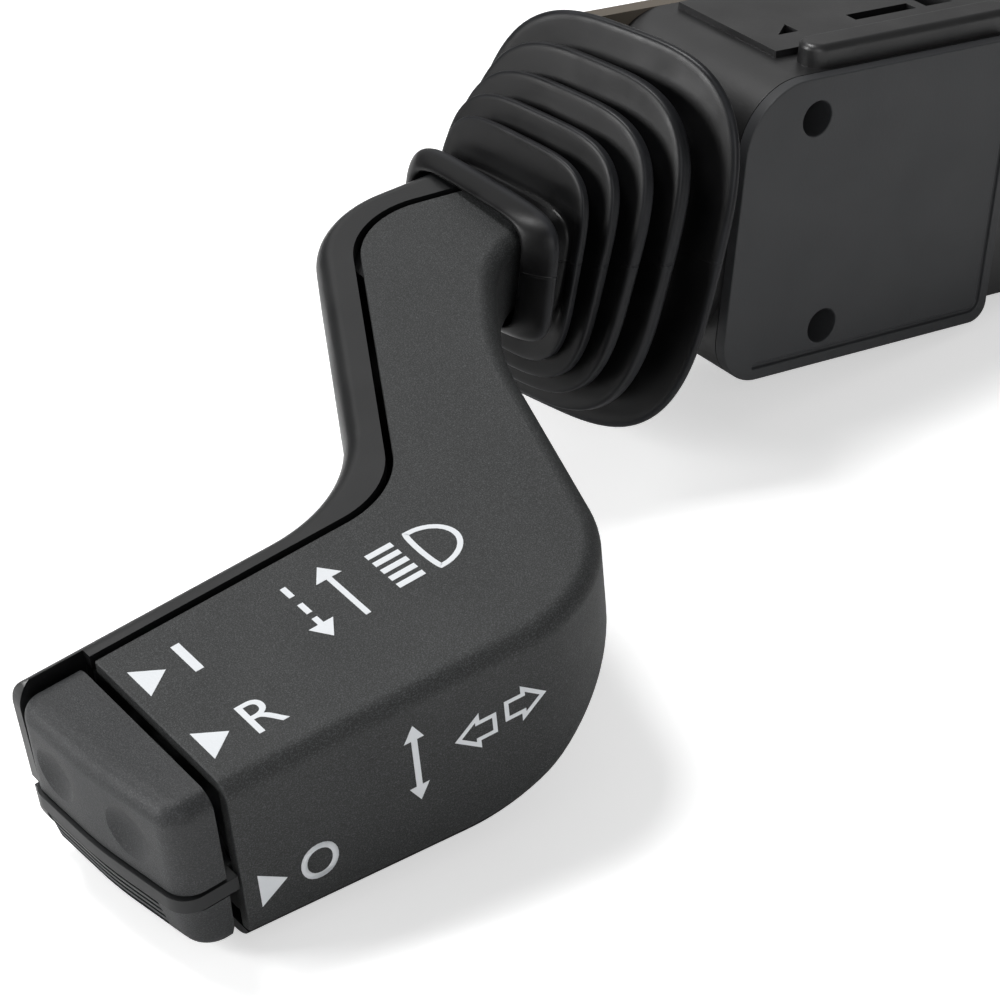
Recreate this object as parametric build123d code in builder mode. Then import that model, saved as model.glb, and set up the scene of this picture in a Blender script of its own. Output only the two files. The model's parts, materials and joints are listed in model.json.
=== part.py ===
"""Combination stalk switch of a steering column, in millimetres.

X runs along the housing, from the stalk's side to the plug. Y points away from the driver, Z up.
The origin is on the side cover's outer face, midway between its two locating holes.
"""
from build123d import *
from math import cos, radians, sin
import os

# Housing
cover_left = -15.7
cover_length = 52.7
case_height = 46.0
case_depth = 33.0
axis_y = case_depth / 2
cover_thick = 2.0
case_wall = 2.0
corner_radii = (10.0, 3.0, 3.0, 7.0)
tail_length = 24.0
tail_height = 40.0
tail_step = 1.5
hole_radius = 2.65
hole_boss_radius = 4.0
hole_boss_length = 6.0
hole_half_x = 3.1
hole_edge = 6.2
hole_half_z = case_height / 2 - hole_edge
deck_height = 1.0
rail_width = 5.2
rail_height = 3.4
rail_start = -2.7
rail_y = 5.2

# Lever bearings
pivot_inset = 12.0
turn_limit = 10.0
running = 0.05
trunnion_radius = 3.0
trunnion_boss = 5.5
lever_pin_radius = 2.0
carrier_half = (7.0, 9.5, 9.0)
carrier_wall = 2.0
carrier_plate = 2.5
core_start = -43.5
core_half_y = 5.5
core_half_z = 4.0
tail_radius = 3.6
tail_reach = 15.5
plunger_radius = 2.0
nose_reach = 20.0
track_gap = 0.1
notch_depth = 0.9
peg_radius = 1.2
peg_reach = 12.0
slot_play = 0.1

# Bellows: place along X, half depth, half height, yaw and pitch of each fold's crest
folds = (
    (-29.2, 24.2, 28.2, 11.5, -12.0),
    (-35.2, 21.2, 24.6, 9.0, -13.0),
    (-39.2, 19.4, 21.0, 7.5, -13.0),
    (-42.3, 17.4, 18.0, 6.5, -10.5),
    (-44.5, 15.4, 15.2, 4.5, -6.5),
)
rubber_wall = 1.3
fold_depth = 4.6
lip_thick = 1.3
cuff_length = 5.0
cuff_half = (18.0, 22.0)
cuff_bore = (16.2, 20.3)
neck_x = -46.4
neck_half = (14.4, 9.4)
collar_x = -49.0
collar_half = (17.2, 9.9)
mouth_x = -52.0
mouth_half = (14.2, 8.9)
mouth_bore = (13.2, 12.0)
soft_gap = 0.3
frame_half = (14.5, 18.5)
frame_bore = (11.4, 11.0)

# Stalk, in its own plane: s along it from the bellows, t away from the driver, h up
stalk_origin = (-55.7, axis_y, 5.5)
stalk_pitch = 15.0
stalk_roll = 5.3
stalk_wall = 2.0
tip_s = -84.0
neck_s = 9.0
near_t = -71.7
far_t = -38.9
neck_height = 13.5
grip_height = 26.0
parting_gap = 1.0
seam = 0.15
top_round = 2.6
low_round = 4.0
tongue = (-14.0, 17.0, -7.5, 5.0)

# Keys in the tip
key_recess = 1.7
key_front_near = -91.6
key_front_far = -94.8
key_drop = 0.4
lower_front = 11.5
band_top = lower_front - grip_height
band_height = 2.2
button_foot_gap = 0.65
key_gap = 0.35
button_height = grip_height - button_foot_gap + band_top - band_height - key_gap
key_wall = 1.8
key_bow = 0.9
key_corner = 3.6
button_lean = 1.5
dimple_radius = 7.5
dimple_depth = 1.0
rim_front = -93.6
rim_thick = 1.8
rocker_pin_radius = 1.25
button_stem_radius = 1.4
button_travel = 1.5

# Worked out from the sizes above
cover_right = cover_left + cover_length
tail_end = cover_right + tail_length
pivot_x = cover_left + pivot_inset
case_top = case_height / 2
board_near = axis_y - 6.5
board_far = axis_y + 9.5
board_seat = 1.0
board_thick = 1.8
board_low = case_wall + board_seat - case_height / 2
board_top = board_low + board_thick
# Beam contact carriage, between the board and the gimbal part
beam_low = board_top + 1.6
beam_top = -carrier_half[2] - 2.2
peg_end = (beam_low + beam_top) / 2 - 0.6
inner_far = case_depth - case_wall
tail_near = tail_step + case_wall
tail_far = case_depth - tail_step - case_wall
# Plug: its half width inside the tail, its middle's height and the pitch of its blades
plug_edge = 2.5
plug_half = (tail_far - tail_near) / 2 - plug_edge
plug_z = case_wall + 10.5 - tail_height / 2
blade_pitch = (plug_half - 2.0) / 2.5
os.makedirs("parts", exist_ok=True)
pieces = []


def keep(builder, name):
    """Label a finished piece and list it for export."""
    builder.part.label = name
    pieces.append(builder.part)


def box_between(low, high, mode=Mode.ADD):
    """A box from its lowest to its highest corner."""
    size = [high[i] - low[i] for i in range(3)]
    centre = [(high[i] + low[i]) / 2 for i in range(3)]
    with Locations(Location(tuple(centre))):
        Box(*size, mode=mode)


def rod(start, direction, radius, length, mode=Mode.ADD):
    """A round rod from a start point along a direction."""
    with Locations(Plane(origin=start, z_dir=direction).location):
        Cylinder(radius, length, align=(Align.CENTER, Align.CENTER, Align.MIN), mode=mode)


def housing_outline(inset):
    """The housing's side outline, drawn inwards by inset."""
    left = cover_left + inset
    right = cover_right - inset
    half = case_top - inset
    corners = ((left, half), (right, half), (right, -half), (left, -half))
    radii = [max(radius - inset, 0.8) for radius in corner_radii]
    return make_face(FilletPolyline(*corners, radius=radii, close=True))


def wire_spring(axis_plane, radius, wire, turns, length):
    """A coil spring along its plane's normal."""
    path = Helix(pitch=length / turns, height=length, radius=radius)
    section = Plane(origin=path @ 0, z_dir=path % 0) * Circle(wire)
    return axis_plane * sweep(section, path=path, is_frenet=True)


# Housing case
outer_face = housing_outline(0)
inner_face = housing_outline(case_wall)
with BuildPart() as housing_case:
    with BuildSketch(Plane.XZ.offset(-case_depth)):
        add(outer_face)
    extrude(amount=case_depth - cover_thick)
    box_between((cover_right - 1, cover_thick, -tail_height / 2),
                (tail_end, case_depth - tail_step, tail_height / 2))
    box_between((cover_right, tail_step, -tail_height / 2), (tail_end, cover_thick + 1, tail_height / 2))
    with BuildSketch(Plane.XZ.offset(-inner_far)):
        add(inner_face)
    extrude(amount=inner_far - cover_thick, mode=Mode.SUBTRACT)
    box_between((cover_right - case_wall - 1, tail_near, case_wall - tail_height / 2),
                (tail_end - case_wall, tail_far, tail_height / 2 - case_wall), mode=Mode.SUBTRACT)
    # Raised deck and guide rail on the top
    deck_start = pivot_x - 0.6
    box_between((deck_start, 9.0, case_top - 0.5), (cover_right, inner_far, case_top + deck_height))
    rail_length = cover_right - rail_start
    with BuildSketch(Plane.XY.offset(case_top - 0.5)):
        with Locations(((rail_start + cover_right) / 2, rail_y)):
            SlotOverall(rail_length, rail_width)
    rail = extrude(amount=rail_height + 0.5)
    fillet(rail.faces().sort_by(Axis.Z)[-1].edges(), radius=1.1)
    # Windows in the deck
    for low_x, high_x, low_y, high_y in ((15.3, 27.3, 14.0, 16.2), (29.3, 34.6, 14.0, 25.0)):
        box_between((low_x, low_y, case_top - case_wall - 0.1),
                    (high_x, high_y, case_top + deck_height + 0.1), mode=Mode.SUBTRACT)
    with BuildSketch(Plane.XY.offset(case_top - case_wall - 0.1)):
        with BuildLine():
            Polyline((0.4, 14.0), (4.2, 14.0), (4.2, 17.0), close=True)
        make_face()
    extrude(amount=case_wall + deck_height + 0.2, mode=Mode.SUBTRACT)
    # Mouth for the lever, and the far trunnion's boss
    with BuildSketch(Plane.YZ.offset(cover_left - 0.1)):
        with Locations((axis_y, 0)):
            RectangleRounded(2 * frame_bore[0], 2 * frame_bore[1], 4.0)
    extrude(amount=case_wall + 0.2, mode=Mode.SUBTRACT)
    boss_start = axis_y + carrier_half[1] + 0.5
    rod((pivot_x, boss_start, 0), (0, 1, 0), trunnion_boss, inner_far - boss_start + 0.1)
    rod((pivot_x, boss_start - 0.1, 0), (0, 1, 0), trunnion_radius + running,
        case_depth - 1.0 - boss_start + 0.1, mode=Mode.SUBTRACT)
    # Window behind the turn contacts
    window_low = pivot_x + 8.0
    window_high = pivot_x + 16.0
    box_between((window_low, inner_far - 0.1, -9.5), (window_high, case_depth + 0.1, 9.5), mode=Mode.SUBTRACT)
    # Ribs under the beam contact board
    for rib_x in (1.5, 13.0):
        box_between((rib_x, board_near, -case_top + case_wall - 0.1), (rib_x + 1.2, board_far, board_low))
    # Heat-staked pegs for the contact base
    peg_places = [(x, z) for x in (-10.0, 28.0) for z in (-15.0, 15.0)]
    for x, z in peg_places:
        rod((x, case_depth - 0.1, z), (0, 1, 0), 1.5, 4.1)
    # Plug mouth, finger slot and finger pin seats in the tail
    finger_x = cover_right + 10.0
    finger_z = 11.0
    finger_y = 10.0
    box_between((tail_end - case_wall - 0.1, axis_y - plug_half - 0.1, plug_z - 8.1),
                (tail_end + 0.1, axis_y + plug_half + 0.1, plug_z + 8.1), mode=Mode.SUBTRACT)
    box_between((tail_end - case_wall - 0.1, finger_y - 2.4, finger_z - 5.8),
                (tail_end + 0.1, finger_y + 2.4, finger_z + 5.8), mode=Mode.SUBTRACT)
    rod((finger_x, tail_near - 1.0, finger_z), (0, 1, 0), 1.5, tail_far - tail_near + 2.0, mode=Mode.SUBTRACT)
keep(housing_case, "housing_case")

# Side cover
with BuildPart() as side_cover:
    with BuildSketch(Plane.XZ.offset(-cover_thick)):
        add(outer_face)
    extrude(amount=cover_thick)
    for hole_x, hole_z in ((-hole_half_x, hole_half_z), (hole_half_x, -hole_half_z)):
        rod((hole_x, cover_thick - 0.1, hole_z), (0, 1, 0), hole_boss_radius, hole_boss_length + 0.1)
        rod((hole_x, -0.1, hole_z), (0, 1, 0), hole_radius, cover_thick + hole_boss_length + 0.2,
            mode=Mode.SUBTRACT)
    near_boss_end = axis_y - carrier_half[1] - 0.5
    rod((pivot_x, cover_thick - 0.1, 0), (0, 1, 0), trunnion_boss, near_boss_end - cover_thick + 0.1)
    rod((pivot_x, 1.0, 0), (0, 1, 0), trunnion_radius + running, near_boss_end, mode=Mode.SUBTRACT)
    # Shallow groove along the lower and right edges
    with BuildSketch(Plane.XZ.offset(0.1)):
        with BuildLine() as groove:
            FilletPolyline((cover_left + 6.0, 2.2 - case_top), (cover_right - 2.0, 2.2 - case_top),
                           (cover_right - 2.0, case_top - 5.0),
                           radius=1.5)
        trace(line_width=0.8)
    extrude(amount=-0.7, mode=Mode.SUBTRACT)
keep(side_cover, "side_cover")

# Contact base on the far side, with its rivets
base_thick = 2.6
with BuildPart() as contact_base:
    box_between((cover_left - 5.0, case_depth, 3.0 - case_top), (34.0, case_depth + base_thick, case_top))
    fillet(contact_base.edges().filter_by(Axis.Y), radius=2.0)
    for x, z in peg_places:
        rod((x, case_depth - 0.1, z), (0, 1, 0), 1.55, base_thick + 0.2, mode=Mode.SUBTRACT)
    rivet_places = [(pivot_x + 10.0 + 4.0 * column, z) for column in range(2) for z in (-6.0, -2.0, 2.0, 6.0)]
    for x, z in rivet_places:
        rod((x, case_depth - 0.1, z), (0, 1, 0), 1.0, base_thick + 0.2, mode=Mode.SUBTRACT)
keep(contact_base, "contact_base")

with BuildPart() as contact_rivets:
    for x, z in rivet_places:
        rod((x, case_depth - 0.6, z), (0, 1, 0), 1.5, 0.6)
        rod((x, case_depth - 0.1, z), (0, 1, 0), 1.0, base_thick + 0.2)
        rod((x, case_depth + base_thick, z), (0, 1, 0), 1.6, 0.8)
keep(contact_rivets, "contact_rivets")

# Plug socket and its blades
with BuildPart() as connector_header:
    box_between((tail_end - case_wall - 4.0, axis_y - plug_half - 1.8, plug_z - 9.7),
                (tail_end - case_wall, axis_y + plug_half + 1.8, plug_z + 9.9))
    box_between((tail_end - case_wall, axis_y - plug_half, plug_z - 8.0),
                (tail_end + 12.0, axis_y + plug_half, plug_z + 8.0))
    box_between((tail_end + 1.0, axis_y - plug_half + 1.5, plug_z - 6.5),
                (tail_end + 12.1, axis_y + plug_half - 1.5, plug_z + 6.5), mode=Mode.SUBTRACT)
    blade_places = [(axis_y + blade_pitch * (column - 2), plug_z + row) for column in range(5)
                    for row in (-3.3, 3.3)]
    for y, z in blade_places:
        box_between((tail_end - 12.0, y - 1.0, z - 0.4), (tail_end + 1.1, y + 1.0, z + 0.4),
                    mode=Mode.SUBTRACT)
keep(connector_header, "connector_header")

with BuildPart() as terminal_blades:
    for y, z in blade_places:
        box_between((tail_end - 12.0, y - 1.0, z - 0.4), (tail_end + 7.0, y + 1.0, z + 0.4))
keep(terminal_blades, "terminal_blades")

# Gimbal part for the turn signal
hx, hy, hz = carrier_half
with BuildPart() as turn_carrier:
    box_between((pivot_x - hx, axis_y - hy, -hz), (pivot_x + hx, axis_y + hy, hz))
    box_between((pivot_x - hx - 0.1, axis_y - hy + carrier_wall, -hz + carrier_plate),
                (pivot_x + hx + 0.1, axis_y + hy - carrier_wall, hz - carrier_plate), mode=Mode.SUBTRACT)
    corners = [edge for edge in turn_carrier.edges().filter_by(Axis.X)
               if abs(edge.center().Y - axis_y) > hy - 0.1 and abs(edge.center().Z) > hz - 0.1]
    fillet(corners, radius=1.8)
    rod((pivot_x, 1.3, 0), (0, 1, 0), trunnion_radius, axis_y - hy - 1.3 + 0.1)
    rod((pivot_x, axis_y + hy - 0.1, 0), (0, 1, 0), trunnion_radius, case_depth - 1.3 - axis_y - hy + 0.1)
    rod((pivot_x, axis_y, -hz - 0.1), (0, 0, 1), lever_pin_radius, 2 * hz + 0.2, mode=Mode.SUBTRACT)
    box_between((pivot_x + hx - 0.1, axis_y + hy - carrier_wall, -3.0),
                (pivot_x + peg_reach + 2.0, axis_y + hy, 3.0))
    rod((pivot_x + peg_reach, axis_y + hy - 0.1, 0), (0, 1, 0), peg_radius, 3.1)
keep(turn_carrier, "turn_carrier")

with BuildPart() as lever_pin:
    rod((pivot_x, axis_y, -hz), (0, 0, 1), lever_pin_radius, 2 * hz)
keep(lever_pin, "lever_pin")

# Stalk planes
pitch_angle = radians(stalk_pitch)
roll_angle = radians(stalk_roll)
stalk = Plane(origin=stalk_origin, x_dir=(cos(pitch_angle), 0, sin(pitch_angle)),
              z_dir=(-sin(pitch_angle) * cos(roll_angle), -sin(roll_angle), cos(pitch_angle) * cos(roll_angle)))
stalk_side = Plane(origin=stalk.origin, x_dir=stalk.x_dir, z_dir=-stalk.y_dir)


def stalk_point(s, t, h):
    """A point of the stalk's frame in the row's frame."""
    return stalk.origin + stalk.x_dir * s + stalk.y_dir * t + stalk.z_dir * h


def stalk_section(s):
    """A plane across the stalk, with t and h as its two directions."""
    return Plane(origin=stalk_point(s, 0, 0), x_dir=stalk.y_dir, z_dir=stalk.x_dir)


def stalk_box(low, high, mode=Mode.ADD):
    """A box in the stalk's frame, from its lowest to its highest s, t and h."""
    centre = [(high[i] + low[i]) / 2 for i in range(3)]
    size = [high[i] - low[i] for i in range(3)]
    with Locations(Plane(origin=stalk_point(*centre), x_dir=stalk.x_dir, z_dir=stalk.z_dir).location):
        Box(*size, mode=mode)


def stalk_outline(extra):
    """The stalk seen from above, with both ends drawn out by extra."""
    tip = rim_front - extra
    neck = neck_s + extra
    near_slope = (near_t + 75.8) / (tip_s + 26.5)
    return make_face(FilletPolyline(
        (tip, far_t), (-43.0, far_t), (-13.6, 13.1), (neck, 10.3), (neck, -10.0), (-0.2, -12.1),
        (-11.2, -27.8), (-26.5, -75.8), (tip, near_t + near_slope * (tip - tip_s)),
        radius=[0, 22, 16, 0, 0, 14, 50, 21, 0], close=True))


def stalk_profile(lift, extra):
    """The stalk seen from the driver, with its underside raised by lift."""
    tip = rim_front - extra
    neck = neck_s + extra
    return make_face(FilletPolyline(
        (tip, 4.0), (neck, 4.0), (neck, lift - neck_height), (-22.0, lift - neck_height),
        (-44.0, lift - grip_height - 3.3), (tip, lift - grip_height),
        radius=[0, 0, 0, 20, 25, 0], close=True))


def front_outline():
    """The region of the front shell seen from above: all on the near side of the parting line."""
    return make_face(FilletPolyline(
        (tip_s - 30, -43.4), (-38.6, -43.2), (-9.4, 7.7), (neck_s + 20, -4.2),
        (neck_s + 20, -100), (tip_s - 30, -100), radius=[0, 14, 11, 0, 0, 0], close=True))


# Whole outer form of the stalk and the space inside it
plan_face = stalk_outline(0)
plan_space = offset(stalk_outline(6), amount=-stalk_wall)
profile_outer = stalk_profile(0, 5)
profile_space = stalk_profile(stalk_wall, 8)
profile_front = stalk_profile(stalk_wall + seam, 8)
front_face = front_outline()
front_grown = offset(front_face, amount=parting_gap)
with BuildPart() as stalk_body:
    with BuildSketch(stalk):
        add(plan_face)
    extrude(amount=-40)
    upper = stalk_body.faces().sort_by(Axis(stalk.origin, stalk.z_dir))[-1]
    along = [edge for edge in upper.edges()
             if rim_front + 1 < (edge.center() - stalk.origin).dot(stalk.x_dir) < neck_s - 1]
    fillet(along, radius=top_round)
    with BuildSketch(stalk_side.offset(-50)):
        add(profile_outer)
    extrude(amount=200, mode=Mode.INTERSECT)
    low_edges = []
    for edge in stalk_body.edges():
        ends = [(corner.center() - stalk.origin) for corner in edge.vertices()]
        across = max(end.dot(stalk.x_dir) for end in ends) - min(end.dot(stalk.x_dir) for end in ends) < 0.01
        highest = max(end.dot(stalk.z_dir) for end in ends + [edge.center() - stalk.origin])
        if highest < 0.6 - neck_height and not across:
            low_edges.append(edge)
    fillet(low_edges, radius=low_round)

with BuildPart() as stalk_space:
    with BuildSketch(stalk.offset(-stalk_wall)):
        add(plan_space)
    extrude(amount=-40)
    with BuildSketch(stalk_side.offset(-50)):
        add(profile_space)
    extrude(amount=200, mode=Mode.INTERSECT)

with BuildPart() as front_region:
    with BuildSketch(stalk.offset(10)):
        add(front_face)
    extrude(amount=-60)
    with BuildSketch(stalk_side.offset(-50)):
        add(profile_front)
    extrude(amount=200, mode=Mode.INTERSECT)

with BuildPart() as rear_exclusion:
    with BuildSketch(stalk.offset(10)):
        add(front_grown)
    extrude(amount=-60)
    with BuildSketch(stalk_side.offset(-50)):
        add(profile_space)
    extrude(amount=200, mode=Mode.INTERSECT)

screw_places = ((-68.0, -50.0), (-52.0, -62.0), (-6.0, -1.0))
screw_radius = 1.25
screw_head = 2.6


def underside(s):
    """Height of the stalk's underside at s."""
    return -neck_height if s > -22 else -grip_height - 3.3 * (s - tip_s) / (-44.0 - tip_s)


with BuildPart() as stalk_front_shell:
    add(stalk_body.part)
    stalk_box((tip_s, -100, -60), (neck_s + 10, 60, 20), mode=Mode.INTERSECT)
    add(front_region.part, mode=Mode.INTERSECT)
    add(stalk_space.part, mode=Mode.SUBTRACT)
    for s, t in screw_places[:2]:
        rod(stalk_point(s, t, -stalk_wall + 0.1), -stalk.z_dir, 2.8, -underside(s) - stalk_wall - 4.4)
        rod(stalk_point(s, t, -stalk_wall - 3.0), -stalk.z_dir, screw_radius + 0.02, 30, mode=Mode.SUBTRACT)
    s, t = screw_places[2]
    rod(stalk_point(s, t, -stalk_wall + 0.1), -stalk.z_dir, 2.8, 1.1)
    rod(stalk_point(s, t, -1.1), -stalk.z_dir, screw_radius + 0.02, 4, mode=Mode.SUBTRACT)
keep(stalk_front_shell, "stalk_front_shell")

# Rim of the rear shell that runs on past the keys on the far side
with BuildPart() as far_rim:
    with BuildSketch(stalk_side.offset(-far_t - 10)):
        with BuildLine():
            FilletPolyline((tip_s + 0.6, 1.0), (rim_front, 1.0), (rim_front + 0.6, 0.1 - grip_height),
                           (tip_s + 0.6, 0.1 - grip_height), radius=[0, 5.0, 4.0, 0], close=True)
        make_face()
    extrude(amount=rim_thick + 10)
    add(stalk_body.part, mode=Mode.INTERSECT)
    notch_top = band_top - band_height
    stalk_box((rim_front - 1, far_t - 5, notch_top - 1.6), (rim_front + 1.2, far_t + 5, notch_top),
              mode=Mode.SUBTRACT)

with BuildPart() as stalk_rear_shell:
    add(stalk_body.part)
    stalk_box((tip_s, -100, -60), (neck_s + 10, 60, 20), mode=Mode.INTERSECT)
    add(stalk_space.part, mode=Mode.SUBTRACT)
    add(rear_exclusion.part, mode=Mode.SUBTRACT)
    for s, t in screw_places:
        foot = underside(s)
        rod(stalk_point(s, t, foot + 1.0), stalk.z_dir, 4.2, 3.3)
        rod(stalk_point(s, t, foot - 2.0), stalk.z_dir, screw_radius + 0.1, 8.0, mode=Mode.SUBTRACT)
        rod(stalk_point(s, t, foot - 2.0), stalk.z_dir, screw_head + 0.2, 4.2, mode=Mode.SUBTRACT)
    add(far_rim.part)
keep(stalk_rear_shell, "stalk_rear_shell")

with BuildPart() as shell_screws:
    for s, t in screw_places:
        foot = underside(s)
        rod(stalk_point(s, t, foot + 0.2), stalk.z_dir, screw_head, 2.0)
        rod(stalk_point(s, t, foot + 2.1), stalk.z_dir, screw_radius, 9.0 if s < -20 else 10.1)
keep(shell_screws, "shell_screws")

# Lever core with its peg and the tongue that the shells clamp
with BuildPart() as lever_core:
    box_between((core_start, axis_y - core_half_y, -core_half_z),
                (pivot_x + hx - 1, axis_y + core_half_y, core_half_z))
    fillet(lever_core.edges().filter_by(Axis.X), radius=1.5)
    stalk_box((tongue[0], tongue[2], -9.1), (tongue[1], tongue[3], -3.1))
    rod((pivot_x, axis_y, -hz + carrier_plate + 0.2), (0, 0, 1), 5.0, 2 * (hz - carrier_plate - 0.2))
    rod((pivot_x + hx - 3, axis_y, 0), (1, 0, 0), tail_radius, tail_reach - hx + 3)
    rod((pivot_x + peg_reach, axis_y, -2.9), (0, 0, -1), peg_radius, -2.9 - peg_end)
    rod((pivot_x + 4.0, axis_y, 0), (1, 0, 0), plunger_radius + running, 20, mode=Mode.SUBTRACT)
    rod((pivot_x, axis_y, -hz), (0, 0, 1), lever_pin_radius + running, 2 * hz, mode=Mode.SUBTRACT)
    s, t = screw_places[2]
    rod(stalk_point(s, t, 0), -stalk.z_dir, screw_radius + 0.1, 20, mode=Mode.SUBTRACT)
keep(lever_core, "lever_core")

# Detent plunger, its spring and the notched cup
plunger_length = 9.0
with BuildPart() as detent_plunger:
    nose_x = pivot_x + nose_reach - plunger_radius
    rod((nose_x - plunger_length, axis_y, 0), (1, 0, 0), plunger_radius, plunger_length)
    with Locations((nose_x, axis_y, 0)):
        Sphere(plunger_radius)
    rod((nose_x - plunger_length - 0.1, axis_y, 0), (1, 0, 0), 1.3, 5.0, mode=Mode.SUBTRACT)
keep(detent_plunger, "detent_plunger")

spring_floor = pivot_x + 4.0
spring_length = nose_x - plunger_length + 4.9 - spring_floor - 0.3
spring_coil = wire_spring(
    Plane(origin=(spring_floor + 0.3, axis_y, 0), z_dir=(1, 0, 0)), 0.9, 0.25, 5, spring_length - 0.6)
with BuildPart() as plunger_spring:
    add(spring_coil)
keep(plunger_spring, "plunger_spring")

track_start = pivot_x + 16.0
with BuildPart() as detent_track:
    box_between((track_start, axis_y - 10, -10), (track_start + 8.0, axis_y + 10, 10))
    box_between((track_start + 2.0, axis_y + 10 - 0.1, -10), (track_start + 8.0, inner_far, 10))
    with Locations((pivot_x, axis_y, 0)):
        Sphere(nose_reach + track_gap, mode=Mode.SUBTRACT)
    for yaw, tilt in ((0, 0), (7, 0), (-7, 0), (0, turn_limit), (0, -turn_limit)):
        reach = nose_reach - plunger_radius + notch_depth
        place = (pivot_x + reach * cos(radians(yaw)) * cos(radians(tilt)),
                 axis_y + reach * sin(radians(yaw)), reach * sin(radians(tilt)))
        # The sphere is turned so that its seam stays out of the cut
        with Locations(Location(place, (20 + yaw, 35 + tilt, 15))):
            Sphere(plunger_radius + track_gap, mode=Mode.SUBTRACT)
keep(detent_track, "detent_track")

# Turn contact carriage
with BuildPart() as turn_slider:
    slider_low = axis_y + hy + 0.4
    box_between((pivot_x + 8.4, slider_low, -6.0), (pivot_x + 15.6, inner_far - 0.3, 6.0))
    box_between((pivot_x + peg_reach - 2.2, slider_low - 0.1, -peg_radius - slot_play),
                (pivot_x + peg_reach + 2.2, axis_y + hy + 3.4, peg_radius + slot_play), mode=Mode.SUBTRACT)
keep(turn_slider, "turn_slider")

with BuildPart() as turn_wipers:
    for x in (pivot_x + 10.0, pivot_x + 14.0):
        box_between((x - 0.8, inner_far - 0.3, -4.0), (x + 0.8, case_depth - 0.9, -3.0))
        box_between((x - 0.8, inner_far - 0.3, 3.0), (x + 0.8, case_depth - 0.9, 4.0))
        box_between((x - 0.8, inner_far - 0.3, -4.0), (x + 0.8, inner_far + 0.1, 4.0))
keep(turn_wipers, "turn_wipers")

# Beam contact carriage, board and pads
with BuildPart() as beam_slider:
    box_between((pivot_x + 6.4, axis_y - 5.5, beam_low), (pivot_x + 17.2, axis_y + 5.5, beam_top))
    box_between((pivot_x + 7.7, axis_y - peg_radius - slot_play, beam_low - 0.1),
                (pivot_x + 16.0, axis_y + peg_radius + slot_play, beam_top + 0.1), mode=Mode.SUBTRACT)
keep(beam_slider, "beam_slider")

with BuildPart() as beam_wipers:
    for y in (axis_y - 3.6, axis_y + 3.6):
        box_between((pivot_x + 7.5, y - 0.8, beam_low - 0.3), (pivot_x + 16.1, y + 0.8, beam_low))
        box_between((pivot_x + 7.5, y - 0.8, beam_low - 0.9), (pivot_x + 8.5, y + 0.8, beam_low - 0.2))
        box_between((pivot_x + 15.1, y - 0.8, beam_low - 0.9), (pivot_x + 16.1, y + 0.8, beam_low - 0.2))
keep(beam_wipers, "beam_wipers")

with BuildPart() as beam_contact_board:
    box_between((0.5, board_near, board_low), (15.2, board_far, board_top))
keep(beam_contact_board, "beam_contact_board")

with BuildPart() as beam_pads:
    for x in (pivot_x + 8.0, pivot_x + 15.6):
        for y in (axis_y - 3.6, axis_y + 3.6):
            box_between((x - 1.2, y - 2.6, board_top), (x + 1.2, y + 2.6, board_top + 0.4))
keep(beam_pads, "beam_pads")

# Self-cancelling finger
with BuildPart() as cancel_finger:
    rod((finger_x, finger_y - 2.0, finger_z), (0, 1, 0), 3.2, 4.0)
    with BuildSketch(Plane.XZ.offset(-(finger_y + 2.0))):
        with BuildLine():
            FilletPolyline((finger_x, finger_z + 2.4), (tail_end + 6.0, finger_z + 1.4),
                           (tail_end + 6.0, finger_z - 1.4), (finger_x, finger_z - 2.4),
                           radius=[0, 1.2, 1.2, 0], close=True)
        make_face()
    extrude(amount=4.0)
    rod((finger_x, finger_y - 3.0, finger_z), (0, 1, 0), 1.5 + running, 6.0, mode=Mode.SUBTRACT)
keep(cancel_finger, "cancel_finger")

with BuildPart() as finger_pin:
    rod((finger_x, tail_near - 1.0, finger_z), (0, 1, 0), 1.5, tail_far - tail_near + 2.0)
keep(finger_pin, "finger_pin")

finger_coil = wire_spring(
    Plane(origin=(finger_x, finger_y + 2.6, finger_z), z_dir=(0, 1, 0)), 2.1, 0.3, 4, 4.0)
with BuildPart() as finger_spring:
    add(finger_coil)
keep(finger_spring, "finger_spring")


# Bellows

def fold_plane(x, yaw, pitch, ahead):
    """The plane of a fold, moved towards the stalk by ahead. Its normal points at the housing."""
    normal = Vector(cos(radians(yaw)) * cos(radians(pitch)), sin(radians(yaw)) * cos(radians(pitch)),
                    sin(radians(pitch)))
    across = Vector(-sin(radians(yaw)), cos(radians(yaw)), 0)
    return Plane(origin=Vector(x, axis_y, 0) - normal * ahead, x_dir=across, z_dir=normal)


def ring(plane, half_y, half_z):
    """A rounded rectangle across the bellows."""
    return plane * RectangleRounded(2 * half_y, 2 * half_z, 0.62 * min(half_y, half_z))


def bellows_rings(inset):
    """The rings of the bellows, from the lip to the collar, drawn inwards by inset."""
    x, half_y, half_z, yaw, pitch = folds[0]
    rings = [(fold_plane(x, yaw, pitch, lip_thick - 0.2), half_y - 1.2, half_z - 1.2)]
    for first, second in zip(folds, folds[1:]):
        middle = [(a + b) / 2 for a, b in zip(first, second)]
        rings.append((fold_plane(middle[0], middle[3], middle[4], 0),
                      second[1] - fold_depth + 1.0, second[2] - fold_depth + 1.0))
        rings.append((fold_plane(second[0], second[3], second[4], 0), second[1], second[2]))
    rings.append((fold_plane(neck_x, 2, -3, 0), *neck_half))
    return [(plane, half_y - inset, half_z - inset) for plane, half_y, half_z in rings]


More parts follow.
